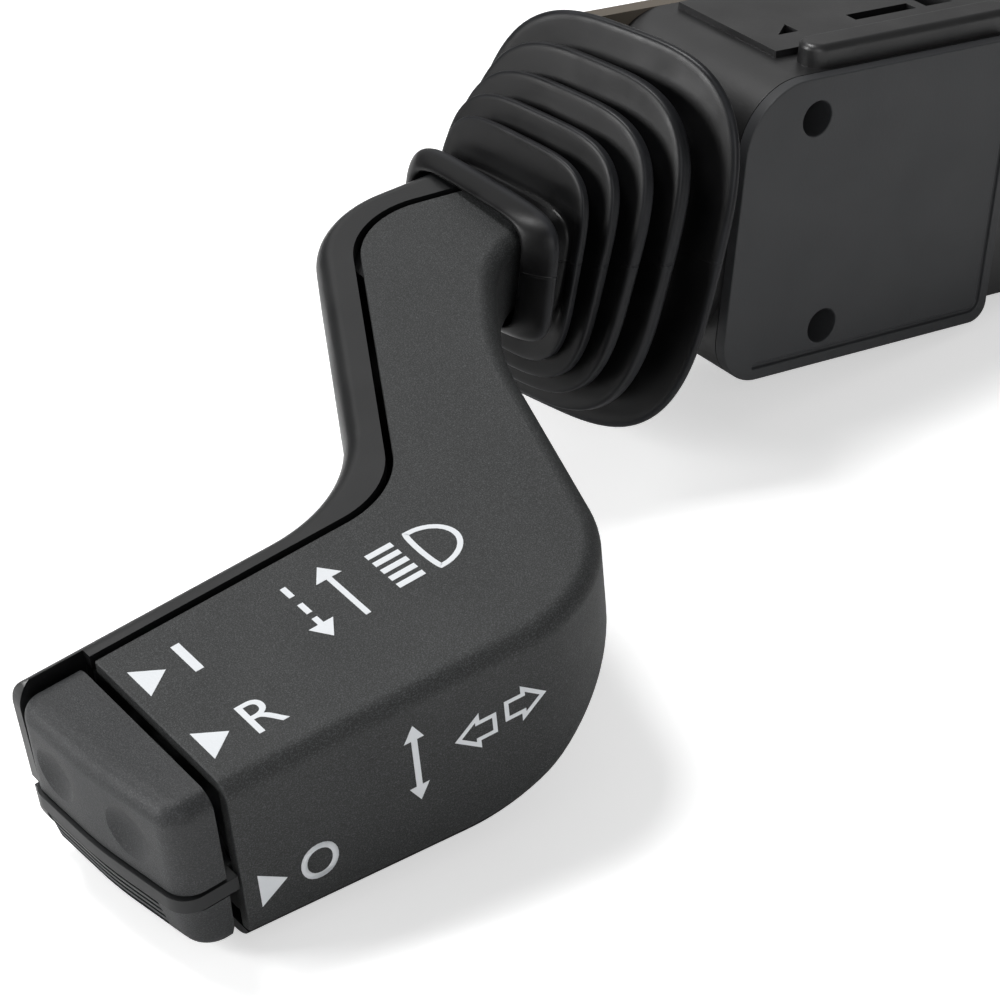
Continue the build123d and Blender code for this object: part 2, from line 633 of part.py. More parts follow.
x, half_y, half_z, yaw, pitch = folds[0]
flange = fold_plane(x, yaw, pitch, 0)
neck_ring = ring(fold_plane(neck_x, 2, -3, 0), *neck_half)
lip_ring = ring(flange, half_y, half_z)
cuff_ring = ring(flange, *cuff_half)
outer_rings = [ring(*values) for values in bellows_rings(0)]
inner_rings = [ring(*values) for values in bellows_rings(rubber_wall)[1:]]
mouth_rings = [ring(fold_plane(x, yaw, pitch, -cuff_length - 0.1), *cuff_bore),
               ring(fold_plane(x, yaw, pitch, 1.0), *cuff_bore), inner_rings[0]]
collar_back = fold_plane(collar_x + 1.3, 1, -2, 0)
collar_front = fold_plane(collar_x - 1.5, 0, -2, 0)
collar_rings = [neck_ring, ring(collar_back, collar_half[0] - 0.5, collar_half[1] - 0.3),
                ring(fold_plane(collar_x, 0, -2, 0), *collar_half),
                ring(collar_front, collar_half[0] - 0.8, collar_half[1] - 0.4),
                ring(fold_plane(mouth_x, 0, -2, 0), *mouth_half)]
with BuildPart() as boot:
    extrude(lip_ring, amount=-lip_thick)
    extrude(cuff_ring, amount=cuff_length)
    loft(outer_rings, ruled=True)
    loft(collar_rings, ruled=True)
    # Inside of the folds, then the bore of the collar, which follows the neck
    loft(inner_rings, ruled=True, mode=Mode.SUBTRACT)
    loft(mouth_rings, ruled=True, mode=Mode.SUBTRACT)
    stalk_box((-3.0, -mouth_bore[0], -neck_height - soft_gap), (neck_s + 3.5, mouth_bore[1], soft_gap),
              mode=Mode.SUBTRACT)
keep(boot, "boot")

# Rigid spigot that carries the bellows
with BuildPart() as boot_frame:
    with BuildSketch(Plane.YZ.offset(cover_left)):
        with Locations((axis_y, 0)):
            RectangleRounded(2 * frame_half[0], 2 * frame_half[1], 11.0)
            RectangleRounded(2 * frame_bore[0], 2 * frame_bore[1], 4.0, mode=Mode.SUBTRACT)
    extrude(amount=-30)
    split(bisect_by=flange, keep=Keep.TOP)
keep(boot_frame, "boot_frame")

# Keys in the tip
front_slope = (key_front_far - key_front_near) / (far_t - 2.4 - near_t)
rim_inner = far_t - rim_thick
key_near = near_t + 0.3
key_far = rim_inner - 1.0


def key_outline(back, near, far, front_trim):
    """A key seen from above: straight back, slanted and bowed front, round near corner."""
    near_front = key_front_near + front_trim + front_slope * (near - near_t)
    far_front = key_front_near + front_trim + front_slope * (far - near_t)
    bow = ((near_front + far_front) / 2 - key_bow, (near + far) / 2)
    corner = min(key_corner, back - near_front - 0.3)
    return make_face(FilletPolyline((back, near), (near_front, near), bow, (far_front, far), (back, far),
                                    radius=[0, corner, 60, 3.0, 0], close=True))


back_s = tip_s - key_recess
band_face = key_outline(tip_s - 0.3, near_t + 0.1, key_far, -0.5)
rocker_face = key_outline(back_s, key_near, key_far, 0)
# Outlines of the off button from its foot up: height, lean of the front, and step in at the near end
button_stack = ((0, button_lean + 2.0, 2.4), (0.8, button_lean + 0.6, 1.0), (2.6, button_lean - 0.35, 0.3),
                (button_height, 0, 0))
with BuildPart() as tip_bezel:
    with BuildSketch(stalk_section(tip_s + 0.5)):
        with BuildLine():
            FilletPolyline((near_t + 2.3, -2.4), (far_t - 2.3, -2.4), (far_t - 2.3, -grip_height + 2.6),
                           (near_t + 2.3, -grip_height + 2.6), radius=1.5, close=True)
        make_face()
    extrude(amount=2.0)
    with BuildSketch(stalk.offset(band_top - band_height)):
        add(band_face)
    extrude(amount=band_height)
    stalk_box((tip_s - 0.4, near_t + 2.4, band_top - band_height), (tip_s + 0.6, key_far - 0.6, band_top))
    # Bearing block for the rocker
    pin_s = tip_s - 4.2
    pin_t = (key_near + key_far) / 2
    stalk_box((pin_s - 1.9, pin_t - 2.6, band_top - 0.1), (tip_s + 0.6, pin_t + 2.6, -5.0))
    rod(stalk_point(pin_s, pin_t, 0), -stalk.z_dir, rocker_pin_radius, -band_top - 0.3, mode=Mode.SUBTRACT)
    # Windows for the prongs and the stem
    prong_places = ((-1, pin_t - 8.5), (1, pin_t + 8.5))
    for side, t in prong_places:
        rod(stalk_point(tip_s - 1, t, -8.0), stalk.x_dir, 2.0, 6, mode=Mode.SUBTRACT)
    button_mid_h = band_top - band_height - key_gap - button_height / 2
    rod(stalk_point(tip_s - 1, pin_t, button_mid_h), stalk.x_dir, button_stem_radius + running, 6,
        mode=Mode.SUBTRACT)
keep(tip_bezel, "tip_bezel")

with BuildPart() as rocker_key:
    rocker_low = band_top + key_gap
    with BuildSketch(stalk.offset(rocker_low)):
        add(rocker_face)
    extrude(amount=-key_drop - rocker_low)
    upper = rocker_key.faces().sort_by(Axis(stalk.origin, stalk.z_dir))[-1]
    rims = [edge for edge in upper.edges()
            if (edge.center() - stalk.origin).dot(stalk.x_dir) < back_s - 0.5]
    fillet(rims, radius=2.6)
    # Hollow back, knuckles and pin bore
    stalk_box((-90.6, key_near + key_wall, rocker_low - 0.1),
              (back_s + 0.1, key_far - key_wall, -key_drop - 2.4), mode=Mode.SUBTRACT)
    stalk_box((pin_s - 2.2, pin_t - 2.4, -4.7), (pin_s + 1.9, pin_t + 2.4, -2.6))
    for side, t in prong_places:
        rod(stalk_point(-91.0, t, -8.0), stalk.x_dir, 1.2, 91.0 + tip_s + 3.3)
    rod(stalk_point(pin_s, pin_t, -key_drop - 1.6), -stalk.z_dir, rocker_pin_radius + running, 14,
        mode=Mode.SUBTRACT)
    # Finger dimples
    for t in (pin_t - 7.4, pin_t + 7.4):
        front = key_front_near + front_slope * (t - near_t) - key_bow / 2
        place = stalk_point(front + dimple_depth - dimple_radius, t, -8.2)
        # The sphere's seam faces away from the key
        with Locations(Plane(origin=place, x_dir=-stalk.x_dir, z_dir=stalk.y_dir).location):
            Sphere(dimple_radius, mode=Mode.SUBTRACT)
keep(rocker_key, "rocker_key")

with BuildPart() as rocker_pin:
    rod(stalk_point(pin_s, pin_t, -key_drop - 1.8), -stalk.z_dir, rocker_pin_radius, -band_top - 2.9)
keep(rocker_pin, "rocker_pin")

button_top = band_top - band_height - key_gap
button_low = button_top - button_height
button_form = loft([stalk.offset(button_low + h) * key_outline(back_s, key_near + step, key_far, lean)
                    for h, lean, step in button_stack], ruled=True)
groove_core = loft([stalk.offset(button_low + h) * key_outline(back_s, key_near + step, key_far, lean + 0.8)
                    for h, lean, step in button_stack], ruled=True)
with BuildPart() as grip_grooves:
    for groove in range(5):
        h = button_top - 1.0 - 1.3 * groove
        stalk_box((-99, key_near + 5.6, h - 0.6), (back_s - 1.0, key_far + 1, h))
    add(groove_core, mode=Mode.SUBTRACT)

with BuildPart() as off_button:
    add(button_form)
    add(grip_grooves.part, mode=Mode.SUBTRACT)
    stalk_box((-89.6, key_near + key_wall, button_low + key_wall),
              (tip_s - key_recess + 0.1, key_far - key_wall, button_top - key_wall), mode=Mode.SUBTRACT)
    rod(stalk_point(-89.9, pin_t, button_mid_h), stalk.x_dir, button_stem_radius, 89.9 + tip_s + 2.2)
keep(off_button, "off_button")

button_coil = wire_spring(
    Plane(origin=stalk_point(-89.2, pin_t, button_mid_h), z_dir=stalk.x_dir), 1.9, 0.22, 5, 4.6)
with BuildPart() as button_spring:
    add(button_coil)
keep(button_spring, "button_spring")

with BuildPart() as key_switches:
    for t, h in ((pin_t - 8.5, -8.0), (pin_t + 8.5, -8.0), (pin_t, button_mid_h)):
        stalk_box((tip_s + 4.6, t - 3.0, h - 3.0), (tip_s + 8.0, t + 3.0, h + 3.0))
        rod(stalk_point(tip_s + 4.0, t, h), stalk.x_dir, 1.5, 0.7)
keep(key_switches, "key_switches")

with BuildPart() as key_board:
    stalk_box((tip_s + 8.0, near_t + 2.2, -grip_height + 2.6), (tip_s + 9.6, far_t - 2.2, -2.2))
keep(key_board, "key_board")

for piece in pieces:
    export_step(piece, os.path.join("parts", piece.label + ".step"))
print(len(pieces), "pieces")
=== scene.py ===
"""Combination stalk switch of a steering column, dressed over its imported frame.

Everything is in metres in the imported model's frame: X along the housing from the stalk to the plug, Y away
from the side cover, Z up towards the guide rail. Sizes in the classes are in millimetres.
"""
import json
import logging
import math
from dataclasses import dataclass, field, replace
from enum import Enum
from typing import Dict, List, Optional, Sequence, Tuple, Union

import bmesh
import bpy
from mathutils import Matrix, Vector

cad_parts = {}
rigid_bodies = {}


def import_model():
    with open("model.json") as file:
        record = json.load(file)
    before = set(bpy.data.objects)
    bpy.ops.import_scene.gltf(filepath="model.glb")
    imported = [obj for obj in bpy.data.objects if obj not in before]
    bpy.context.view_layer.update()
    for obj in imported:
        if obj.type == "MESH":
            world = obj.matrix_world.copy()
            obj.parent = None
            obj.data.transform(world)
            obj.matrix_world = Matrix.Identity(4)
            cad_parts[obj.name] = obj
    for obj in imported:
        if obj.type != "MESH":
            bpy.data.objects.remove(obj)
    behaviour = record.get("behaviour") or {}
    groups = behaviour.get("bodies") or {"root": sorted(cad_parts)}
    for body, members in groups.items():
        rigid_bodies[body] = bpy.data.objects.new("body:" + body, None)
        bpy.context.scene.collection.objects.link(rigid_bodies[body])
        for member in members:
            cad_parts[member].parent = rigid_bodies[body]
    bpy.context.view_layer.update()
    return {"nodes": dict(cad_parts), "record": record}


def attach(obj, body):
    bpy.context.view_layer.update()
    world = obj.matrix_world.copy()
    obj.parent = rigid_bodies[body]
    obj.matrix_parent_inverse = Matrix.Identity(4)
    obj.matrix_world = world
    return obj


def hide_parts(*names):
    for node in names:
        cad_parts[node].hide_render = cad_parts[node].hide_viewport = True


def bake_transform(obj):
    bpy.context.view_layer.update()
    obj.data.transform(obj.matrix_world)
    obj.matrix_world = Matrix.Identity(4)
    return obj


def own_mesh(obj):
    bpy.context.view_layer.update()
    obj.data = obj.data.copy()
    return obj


logging.basicConfig(level=logging.INFO, format="%(message)s")
LOG = logging.getLogger("stalk_switch")

MM = 0.001
Ring = List[Vector]
Outline = Sequence[Tuple[float, float]]
Spot = Tuple[float, float, float]


class Facing(Enum):
    """Which printed surface of the stalk a symbol lies on."""

    TOP = "top"
    SIDE = "side"


def linear(hex_colour: str) -> Tuple[float, float, float, float]:
    """Turn an sRGB hex colour into a linear one.

    Args:
        hex_colour: six hex digits, without a mark in front.

    Returns:
        Red, green, blue and an alpha of 1.
    """
    values = [int(hex_colour[i:i + 2], 16) / 255 for i in (0, 2, 4)]
    out = [v / 12.92 if v <= 0.04045 else ((v + 0.055) / 1.055) ** 2.4 for v in values]
    return out[0], out[1], out[2], 1.0


def add_node(tree: bpy.types.NodeTree, kind: str, settings: Optional[dict] = None,
             links: Optional[dict] = None) -> bpy.types.Node:
    """Add a node with its settings and links.

    Args:
        tree: the material's node tree.
        kind: the node's type name.
        settings: values of properties by name, or of input sockets by name or number.
        links: output sockets to link, by the input's name or number.

    Returns:
        The new node.
    """
    node = tree.nodes.new(kind)
    for key, value in (settings or {}).items():
        if isinstance(key, int):
            node.inputs[key].default_value = value
        elif hasattr(node, key):
            setattr(node, key, value)
        else:
            node.inputs[key].default_value = value
    for key, socket in (links or {}).items():
        tree.links.new(socket, node.inputs[key])
    return node


def start_material(name: str) -> Tuple[bpy.types.Material, bpy.types.NodeTree]:
    """Make a material with an empty node tree.

    Args:
        name: the material's name.

    Returns:
        The new material and its tree.
    """
    material = bpy.data.materials.new(name)
    material.use_nodes = True
    material.node_tree.nodes.clear()
    return material, material.node_tree


@dataclass(frozen=True)
class MouldedPlastic:
    """A moulded plastic: its colour, sheen and the grain that its mould left.

    Grain sizes are in millimetres. A real grain is finer than what a picture can show, so it is drawn a little
    coarser. Its specks are the tips that catch the light.
    """

    name: str
    colour: str
    light: str
    roughness: float
    grain_mm: float
    grain_depth: float
    sparkle: float = 0.0
    specular: float = 0.5
    cloud: float = 0.3
    speck: str = "85888a"
    speck_share: float = 0.7
    relief_mm: float = 0.12
    shine: float = 0.05
    dullness: float = 0.07

    def make(self) -> bpy.types.Material:
        """Build the material.

        Returns:
            The new material.
        """
        material, tree = start_material(self.name)
        place = add_node(tree, "ShaderNodeTexCoord").outputs["Object"]
        # Fine grain of the spark-eroded mould
        grain = add_node(tree, "ShaderNodeTexNoise",
                         {"Scale": 1 / (self.grain_mm * MM), "Detail": 3.0, "Roughness": 0.7}, {"Vector": place})
        # Slow change of sheen, as handling and moulding leave it
        cloud = add_node(tree, "ShaderNodeTexNoise", {"Scale": 90.0, "Detail": 3.0}, {"Vector": place})
        tone = add_node(tree, "ShaderNodeMath", {"operation": "MULTIPLY", 1: self.cloud}, {0: cloud.outputs["Fac"]})
        mixed = add_node(tree, "ShaderNodeMix", {"data_type": "RGBA", 6: linear(self.colour), 7: linear(self.light)},
                         {0: tone.outputs[0]})
        colour = mixed.outputs[2]
        if self.sparkle > 0:
            # Tips of the grain catch the light as sparse pale specks
            specks = add_node(tree, "ShaderNodeTexNoise",
                              {"Scale": 1 / (self.grain_mm * self.speck_share * MM), "Detail": 2.0,
                               "Roughness": 0.8},
                              {"Vector": place})
            peak = add_node(tree, "ShaderNodeMapRange",
                            {"From Min": 0.48, "From Max": 0.72, "To Min": 0.0, "To Max": self.sparkle},
                            {"Value": specks.outputs["Fac"]})
            speckled = add_node(tree, "ShaderNodeMix", {"data_type": "RGBA", 7: linear(self.speck)},
                                {0: peak.outputs[0], 6: colour})
            colour = speckled.outputs[2]
        rough = add_node(tree, "ShaderNodeMapRange",
                         {"From Min": 0.3, "From Max": 0.7, "To Min": self.roughness - self.shine,
                          "To Max": self.roughness + self.dullness}, {"Value": cloud.outputs["Fac"]})
        bump = add_node(tree, "ShaderNodeBump", {"Strength": self.grain_depth, "Distance": self.relief_mm * MM},
                        {"Height": grain.outputs["Fac"]})
        shader = add_node(tree, "ShaderNodeBsdfPrincipled", {"IOR": 1.5, "Specular IOR Level": self.specular},
                          {"Base Color": colour, "Roughness": rough.outputs[0], "Normal": bump.outputs[0]})
        add_node(tree, "ShaderNodeOutputMaterial", {}, {"Surface": shader.outputs[0]})
        return material


@dataclass(frozen=True)
class MouldedRubber:
    """Soft black rubber of the bellows, with mould bloom and a painted highlight on its shoulders, a fine skin and a
    flash line.
    """

    name: str = "moulded_rubber_bellows"
    colour: str = "080809"
    # Paler colour of the crest shoulders: part mould bloom, part painted highlight along the bead edges
    bloom_and_highlight: str = "26272a"
    roughness: float = 0.36
    shine: float = 0.07
    dullness: float = 0.1
    flash_z: float = 1.7
    flash_half_mm: float = 0.08
    flash_foot_mm: float = 0.22
    flash_rise: float = 1.2
    skin_rise: float = 0.12
    relief_mm: float = 0.1

    def make(self) -> bpy.types.Material:
        """Build the material.

        Returns:
            The new material.
        """
        material, tree = start_material(self.name)
        place = add_node(tree, "ShaderNodeTexCoord").outputs["Object"]
        cloud = add_node(tree, "ShaderNodeTexNoise", {"Scale": 160.0, "Detail": 5.0}, {"Vector": place})
        skin = add_node(tree, "ShaderNodeTexNoise", {"Scale": 2200.0, "Detail": 2.0}, {"Vector": place})
        # Painted highlight and mould bloom, strongest on the crest shoulders, from the stored point attribute
        shoulder = add_node(tree, "ShaderNodeAttribute", {"attribute_name": "bloom_and_highlight"})
        spread = add_node(tree, "ShaderNodeMapRange",
                          {"From Min": 0.25, "From Max": 0.7, "To Min": 0.35, "To Max": 1.0},
                          {"Value": cloud.outputs["Fac"]})
        share = add_node(tree, "ShaderNodeMath", {"operation": "MULTIPLY"},
                         {0: shoulder.outputs["Fac"], 1: spread.outputs[0]})
        colour = add_node(tree, "ShaderNodeMix",
                          {"data_type": "RGBA", 6: linear(self.colour), 7: linear(self.bloom_and_highlight)},
                          {0: share.outputs[0]})
        rough = add_node(tree, "ShaderNodeMapRange",
                         {"From Min": 0.3, "From Max": 0.7, "To Min": self.roughness - self.shine,
                          "To Max": self.roughness + self.dullness}, {"Value": cloud.outputs["Fac"]})
        # Thin flash line where the mould's halves met, along both sides
        height = add_node(tree, "ShaderNodeSeparateXYZ", {}, {0: place}).outputs["Z"]
        off = add_node(tree, "ShaderNodeMath", {"operation": "SUBTRACT", 1: self.flash_z * MM}, {0: height})
        away = add_node(tree, "ShaderNodeMath", {"operation": "ABSOLUTE"}, {0: off.outputs[0]})
        flash = add_node(tree, "ShaderNodeMapRange",
                         {"From Min": self.flash_half_mm * MM, "From Max": self.flash_foot_mm * MM,
                          "To Min": self.flash_rise, "To Max": 0.0}, {"Value": away.outputs[0]})
        relief = add_node(tree, "ShaderNodeMath", {"operation": "MULTIPLY_ADD", 1: self.skin_rise},
                          {0: skin.outputs["Fac"], 2: flash.outputs[0]})
        bump = add_node(tree, "ShaderNodeBump", {"Strength": 0.5, "Distance": self.relief_mm * MM},
                        {"Height": relief.outputs[0]})
        shader = add_node(tree, "ShaderNodeBsdfPrincipled", {"IOR": 1.5, "Specular IOR Level": 0.27},
                          {"Base Color": colour.outputs[2], "Roughness": rough.outputs[0], "Normal": bump.outputs[0]})
        add_node(tree, "ShaderNodeOutputMaterial", {}, {"Surface": shader.outputs[0]})
        return material


@dataclass(frozen=True)
class WorkedMetal:
    """A plain metal of the inner works, with fine drawing or turning marks."""

    name: str
    colour: str
    roughness: float
    mark_mm: float = 0.15
    relief_mm: float = 0.05
    shine: float = 0.06
    dullness: float = 0.1

    def make(self) -> bpy.types.Material:
        """Build the material.

        Returns:
            The new material.
        """
        material, tree = start_material(self.name)
        place = add_node(tree, "ShaderNodeTexCoord").outputs["Object"]
        marks = add_node(tree, "ShaderNodeTexNoise", {"Scale": 1 / (self.mark_mm * MM), "Detail": 2.0},
                         {"Vector": place})
        rough = add_node(tree, "ShaderNodeMapRange",
                         {"To Min": self.roughness - self.shine, "To Max": self.roughness + self.dullness},
                         {"Value": marks.outputs["Fac"]})
        bump = add_node(tree, "ShaderNodeBump", {"Strength": 0.1, "Distance": self.relief_mm * MM},
                        {"Height": marks.outputs["Fac"]})
        shader = add_node(tree, "ShaderNodeBsdfPrincipled", {"Metallic": 1.0, "Base Color": linear(self.colour)},
                          {"Roughness": rough.outputs[0], "Normal": bump.outputs[0]})
        add_node(tree, "ShaderNodeOutputMaterial", {}, {"Surface": shader.outputs[0]})
        return material


Finish = Union[MouldedPlastic, MouldedRubber, WorkedMetal]

# Pad-printed ink, a cool pale grey that the grain breaks up a little
INK = MouldedPlastic("pad_printed_ink", "e2e6ea", "f2f4f6", 0.55, 0.5, 0.2, cloud=0.8)
# Glass-filled nylon of the housing, smooth from a polished mould, with soft flow clouds
HOUSING_NYLON = MouldedPlastic("moulded_nylon_housing", "131314", "1d1d1e", 0.42, 0.5, 0.16, specular=0.8)
# The side cover, the same nylon a little greyer
COVER_NYLON = MouldedPlastic("moulded_nylon_cover", "37383a", "424345", 0.5, 0.5, 0.16, specular=0.45)
# ABS of the stalk's front shell: charcoal with a fine spark-eroded grain that glitters a little
GRAINED_ABS = MouldedPlastic("spark_grained_abs", "272828", "323333", 0.55, 0.26, 0.6, sparkle=0.3, specular=0.42)
# ABS of the rear shell, smooth satin
SMOOTH_ABS = MouldedPlastic("satin_abs", "101112", "19191a", 0.36, 0.4, 0.16, specular=0.6)
# ABS of the keys, grained as the shell
KEY_ABS = MouldedPlastic("grained_key_abs", "242526", "2e2f31", 0.48, 0.26, 0.55, sparkle=0.24, specular=0.42)
# The band between the keys, satin and a little paler
BAND_ABS = MouldedPlastic("satin_band_abs", "1b1c1d", "242526", 0.45, 0.5, 0.12, specular=0.4)
# Pressed phenolic paper board
PHENOLIC = MouldedPlastic("pressed_phenolic_board", "6a6258", "7c7468", 0.6, 0.8, 0.3)
# Natural acetal of the sliding parts
ACETAL = MouldedPlastic("natural_acetal", "d9d5c8", "e4e1d6", 0.38, 0.6, 0.08)
# Black nylon of the lever's core, socket and switches
BLACK_NYLON = MouldedPlastic("black_nylon_inner", "161618", "212123", 0.45, 0.6, 0.12)
# Green coated laminate of the small boards
LAMINATE = MouldedPlastic("coated_laminate", "1e5c36", "27704a", 0.35, 0.8, 0.1)
COPPER = WorkedMetal("stamped_copper_alloy", "c98a5b", 0.32)
TIN = WorkedMetal("tinned_blade", "c9c9c4", 0.3)
STEEL = WorkedMetal("ground_pin_steel", "b4b5b7", 0.25)
WIRE = WorkedMetal("drawn_spring_wire", "9b9c9f", 0.3)
ZINC = WorkedMetal("zinc_plated_screw", "a3a5a6", 0.35)
RUBBER = MouldedRubber()


def deselect() -> None:
    """Leave nothing selected."""
    for item in bpy.context.view_layer.objects:
        item.select_set(False)


def activate(item: bpy.types.Object) -> None:
    """Select one object and make it active.

    Args:
        item: the object.
    """
    deselect()
    item.select_set(True)
    bpy.context.view_layer.objects.active = item


def smooth(item: bpy.types.Object, degrees: float = 30.0) -> None:
    """Shade an object smooth and keep its sharp edges crisp.

    Args:
        item: the object.
        degrees: edges sharper than this stay crisp.
    """
    activate(item)
    bpy.ops.object.shade_smooth_by_angle(angle=math.radians(degrees))


def loft(name: str, rings: Sequence[Ring], close: bool) -> bpy.types.Object:
    """Skin a tube over rings of points, as a circle that is extruded from ring to ring.

    Args:
        name: the new object's name.
        rings: rings with equal numbers of points.
        close: join the last ring to the first.

    Returns:
        The new mesh object.
    """
    count = len(rings[0])
    deselect()
    bpy.ops.mesh.primitive_circle_add(vertices=count, radius=0.01)
    item = bpy.context.object
    item.name = name
    bpy.ops.object.mode_set(mode="EDIT")
    form = bmesh.from_edit_mesh(item.data)
    form.verts.ensure_lookup_table()
    current = list(form.verts)
    order = {}
    for i, vert in enumerate(current):
        vert.co = rings[0][i]
        order[vert.index] = i
    bmesh.update_edit_mesh(item.data)
    bpy.ops.mesh.select_all(action="SELECT")
    for ring in rings[1:]:
        bpy.ops.mesh.extrude_edges_move()
        form = bmesh.from_edit_mesh(item.data)
        form.verts.index_update()
        fresh = [vert for vert in form.verts if vert.select]
        placed = {}
        for vert in fresh:
            for edge in vert.link_edges:
                other = edge.other_vert(vert)
                if not other.select:
                    placed[vert.index] = order[other.index]
        for vert in fresh:
            vert.co = ring[placed[vert.index]]
        order = placed
        bmesh.update_edit_mesh(item.data)
    if close:
        bpy.ops.mesh.select_all(action="DESELECT")
        bpy.ops.mesh.select_mode(type="EDGE")
        bpy.ops.mesh.select_non_manifold()
        bpy.ops.mesh.bridge_edge_loops()
    bpy.ops.mesh.select_mode(type="VERT")
    bpy.ops.mesh.select_all(action="SELECT")
    bpy.ops.mesh.normals_make_consistent(inside=False)
    bpy.ops.object.mode_set(mode="OBJECT")
    return item


@dataclass(frozen=True)
class StalkFrame:
    """The stalk's own directions: s along it from the bellows, t away from the driver, h up."""

    origin: Vector
    along: Vector
    across: Vector
    up: Vector

    @classmethod
    def standard(cls) -> "StalkFrame":
        """Build the frame with the part's own pitch and roll.

        Returns:
            The stalk's frame.
        """
        pitch, roll = math.radians(15.0), math.radians(5.3)
        along = Vector((math.cos(pitch), 0, math.sin(pitch)))
        up = Vector((-math.sin(pitch) * math.cos(roll), -math.sin(roll), math.cos(pitch) * math.cos(roll)))
        return cls(Vector((-55.7, 16.5, 5.5)) * MM, along, up.cross(along), up)

    def point(self, s: float, t: float, h: float) -> Vector:
        """A point of the stalk, given in millimetres."""
        return self.origin + (self.along * s + self.across * t + self.up * h) * MM


@dataclass
class Dresser:
    """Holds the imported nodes, with their bodies and slots, and gives each its finish."""

    nodes: Dict[str, bpy.types.Object]
    bodies: Dict[str, str]
    slots: Dict[str, str]
    made: Dict[str, bpy.types.Material] = field(default_factory=dict)
    merge_m: float = 2e-6
    flat_degrees: float = 0.6
    crisp_degrees: float = 32.0
    face_weight: int = 90

    def finish(self, recipe: Finish) -> bpy.types.Material:
        """Give the material of a finish, made once.

        Args:
            recipe: the finish.

        Returns:
            Its material.
        """
        if recipe.name not in self.made:
            self.made[recipe.name] = recipe.make()
        return self.made[recipe.name]

    def paint(self, item: bpy.types.Object, recipe: Finish) -> None:
        """Put one finish on an object."""
        item.data.materials.clear()
        item.data.materials.append(self.finish(recipe))

    def refine(self, node: str, recipe: Finish, bevel_mm: float, segments: int = 2,
               angle: float = 28.0) -> bpy.types.Object:
        """Copy a CAD node, soften its edges as a mould does, and let the copy stand for it.

        Args:
            node: the CAD node's name.
            recipe: the finish.
            bevel_mm: width of the softened edges.
            segments: steps of each softened edge.
            angle: edges sharper than this many degrees are softened.

        Returns:
            The new piece.
        """
        source = self.nodes[node]
        item = bpy.data.objects.new(node + "_fine", source.data.copy())
        bpy.context.scene.collection.objects.link(item)
        activate(item)
        bpy.ops.object.mode_set(mode="EDIT")
        bpy.ops.mesh.select_all(action="SELECT")
        bpy.ops.mesh.remove_doubles(threshold=self.merge_m)
        bpy.ops.mesh.dissolve_limited(angle_limit=math.radians(self.flat_degrees))
        bpy.ops.object.mode_set(mode="OBJECT")
        if bevel_mm > 0:
            edge = item.modifiers.new("soft_edges", "BEVEL")
            edge.width = bevel_mm * MM
            edge.segments = segments
            edge.limit_method = "ANGLE"
            edge.angle_limit = math.radians(angle)
            edge.use_clamp_overlap = True
            edge.miter_outer = "MITER_ARC"
            bpy.ops.object.modifier_apply(modifier=edge.name)
        self.paint(item, recipe)
        smooth(item, self.crisp_degrees)
        even = item.modifiers.new("even_faces", "WEIGHTED_NORMAL")
        even.mode = "FACE_AREA"
        even.weight = self.face_weight
        even.keep_sharp = True
        activate(item)
        bpy.ops.object.modifier_apply(modifier=even.name)
        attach(item, self.bodies[node])
        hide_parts(node)
        LOG.info("%s: %d faces", item.name, len(item.data.polygons))
        return item


@dataclass(frozen=True)
class Fold:
    """One section of the bellows: its middle, half sizes and tilt, and half the width of the bead on it.

    The power says how square its corners are: 2 is an ellipse, and more is squarer.
    """

    x: float
    half_y: float
    half_z: float
    yaw: float
    pitch: float
    half_bead: float = 0.0
    power: float = 3.2


@dataclass(frozen=True)
class Valley:
    """The bottom between two crests: how deep it lies, and how square its corners are."""

    depth: float
    power: float


